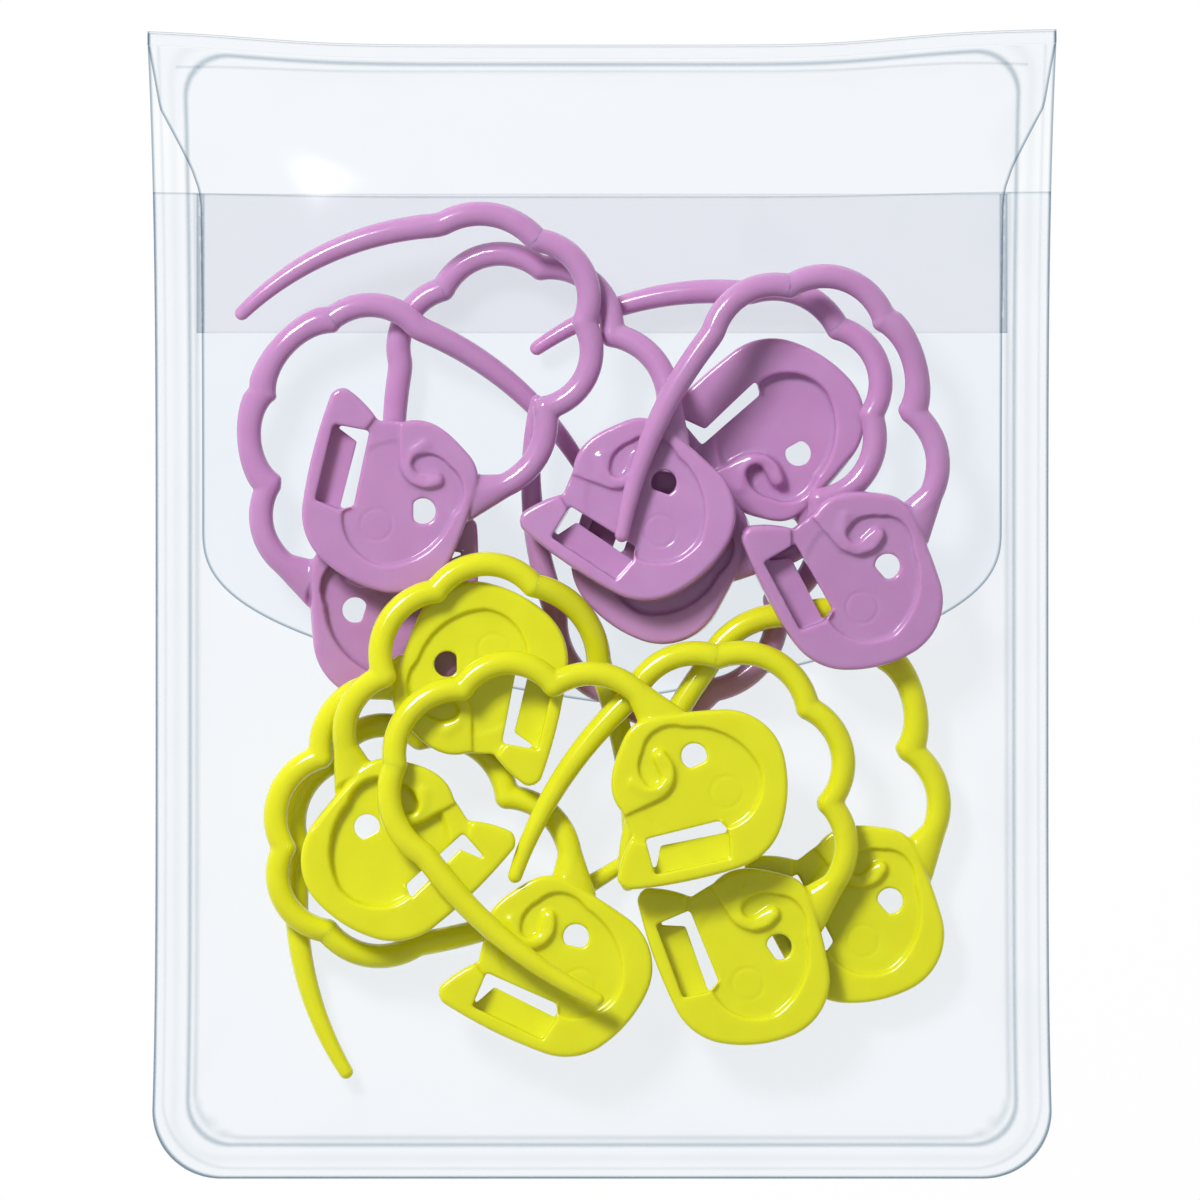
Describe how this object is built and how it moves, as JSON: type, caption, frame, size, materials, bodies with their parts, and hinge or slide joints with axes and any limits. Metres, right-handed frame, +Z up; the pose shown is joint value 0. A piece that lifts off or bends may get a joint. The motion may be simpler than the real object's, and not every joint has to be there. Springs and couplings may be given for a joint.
{
  "type": "stitch marker set in a pouch",
  "caption": "Flat clear plastic pouch with a tuck flap, holding a loose heap of lilac and yellow locking stitch markers shaped like wavy safety pins with a fish-like head.",
  "frame": {"origin": "middle of the pouch's underside, where it lies flat on a table", "axes": "+X across the pouch to the right of the picture, +Y towards the folded top edge, +Z up out of the table towards the camera"},
  "size_m": [0.0702, 0.0892, 0.0102],
  "materials": {
    "clear_film": "clear soft vinyl film, glossy, very slightly blue",
    "band_film": "clear vinyl strap, glossy",
    "lilac_plastic": "lilac moulded plastic, glossy",
    "yellow_plastic": "yellow-green moulded plastic, glossy"
  },
  "bodies": {
    "pouch": {"pouch_back_panel": "clear_film", "pouch_front_panel": "clear_film", "pouch_tuck_band": "band_film", "lilac_marker_1_head": "lilac_plastic", "lilac_marker_2_head": "lilac_plastic", "lilac_marker_3_head": "lilac_plastic", "lilac_marker_4_head": "lilac_plastic", "lilac_marker_5_head": "lilac_plastic", "lilac_marker_6_head": "lilac_plastic", "yellow_marker_1_head": "yellow_plastic", "yellow_marker_2_head": "yellow_plastic", "yellow_marker_3_head": "yellow_plastic", "yellow_marker_4_head": "yellow_plastic", "yellow_marker_5_head": "yellow_plastic", "yellow_marker_6_head": "yellow_plastic"},
    "flap": {"pouch_flap": "clear_film"},
    "lilac_marker_1_arm": {"lilac_marker_1_tail": "lilac_plastic"},
    "lilac_marker_2_arm": {"lilac_marker_2_tail": "lilac_plastic"},
    "lilac_marker_3_arm": {"lilac_marker_3_tail": "lilac_plastic"},
    "lilac_marker_4_arm": {"lilac_marker_4_tail": "lilac_plastic"},
    "lilac_marker_5_arm": {"lilac_marker_5_tail": "lilac_plastic"},
    "lilac_marker_6_arm": {"lilac_marker_6_tail": "lilac_plastic"},
    "yellow_marker_1_arm": {"yellow_marker_1_tail": "yellow_plastic"},
    "yellow_marker_2_arm": {"yellow_marker_2_tail": "yellow_plastic"},
    "yellow_marker_3_arm": {"yellow_marker_3_tail": "yellow_plastic"},
    "yellow_marker_4_arm": {"yellow_marker_4_tail": "yellow_plastic"},
    "yellow_marker_5_arm": {"yellow_marker_5_tail": "yellow_plastic"},
    "yellow_marker_6_arm": {"yellow_marker_6_tail": "yellow_plastic"}
  },
  "joints": [
    {"name": "flap_fold", "type": "hinge", "parent": "pouch", "child": "flap", "pos_m": [0, 0.04365, 0.00103], "axis": [1, 0, 0], "range_deg": [0, 180]},
    {"name": "lilac_marker_1_flex", "type": "hinge", "parent": "pouch", "child": "lilac_marker_1_arm", "pos_m": [-0.00508, 0.02871, 0.00606], "axis": [0, 0, 1], "range_deg": [0, 5], "stiffness_Nm_per_rad": 0.05},
    {"name": "lilac_marker_2_flex", "type": "hinge", "parent": "pouch", "child": "lilac_marker_2_arm", "pos_m": [-0.02118, 0.02254, 0.00417], "axis": [0, 0, -1], "range_deg": [-4, 12], "stiffness_Nm_per_rad": 0.05},
    {"name": "lilac_marker_3_flex", "type": "hinge", "parent": "pouch", "child": "lilac_marker_3_arm", "pos_m": [-0.01243, 0.02488, 0.00227], "axis": [0, 0, 1], "range_deg": [-10, 12], "stiffness_Nm_per_rad": 0.05},
    {"name": "lilac_marker_4_flex", "type": "hinge", "parent": "pouch", "child": "lilac_marker_4_arm", "pos_m": [0.00078, -0.00676, 0.00237], "axis": [0, 0, -1], "range_deg": [0, 6], "stiffness_Nm_per_rad": 0.05},
    {"name": "lilac_marker_5_flex", "type": "hinge", "parent": "pouch", "child": "lilac_marker_5_arm", "pos_m": [0.0147, 0.02512, 0.00775], "axis": [0, 0, 1], "range_deg": [-10, 4], "stiffness_Nm_per_rad": 0.05},
    {"name": "lilac_marker_6_flex", "type": "hinge", "parent": "pouch", "child": "lilac_marker_6_arm", "pos_m": [0.01845, 0.02184, 0.00364], "axis": [0, 0, 1], "range_deg": [-10, 6], "stiffness_Nm_per_rad": 0.05},
    {"name": "yellow_marker_1_flex", "type": "hinge", "parent": "pouch", "child": "yellow_marker_1_arm", "pos_m": [-0.0215, -0.02527, 0.00374], "axis": [0, 0, 1], "range_deg": [0, 18], "stiffness_Nm_per_rad": 0.05},
    {"name": "yellow_marker_2_flex", "type": "hinge", "parent": "pouch", "child": "yellow_marker_2_arm", "pos_m": [-0.00539, 0.00176, 0.00775], "axis": [0, 0, -1], "range_deg": [0, 1.5], "stiffness_Nm_per_rad": 0.05},
    {"name": "yellow_marker_3_flex", "type": "hinge", "parent": "pouch", "child": "yellow_marker_3_arm", "pos_m": [-0.01618, -0.0123, 0.0086], "axis": [0, 0, 1], "range_deg": [-6, 18], "stiffness_Nm_per_rad": 0.05},
    {"name": "yellow_marker_4_flex", "type": "hinge", "parent": "pouch", "child": "yellow_marker_4_arm", "pos_m": [0.00907, -0.00387, 0.00649], "axis": [0, 0, 1], "range_deg": [0, 1], "stiffness_Nm_per_rad": 0.05},
    {"name": "yellow_marker_5_flex", "type": "hinge", "parent": "pouch", "child": "yellow_marker_5_arm", "pos_m": [-0.02126, -0.01215, 0.00227], "axis": [0, 0, 1], "range_deg": [-10, 6], "stiffness_Nm_per_rad": 0.05},
    {"name": "yellow_marker_6_flex", "type": "hinge", "parent": "pouch", "child": "yellow_marker_6_arm", "pos_m": [0.01548, -0.00074, 0.00417], "axis": [0, 0, 1], "range_deg": [0, 3], "stiffness_Nm_per_rad": 0.05}
  ]
}
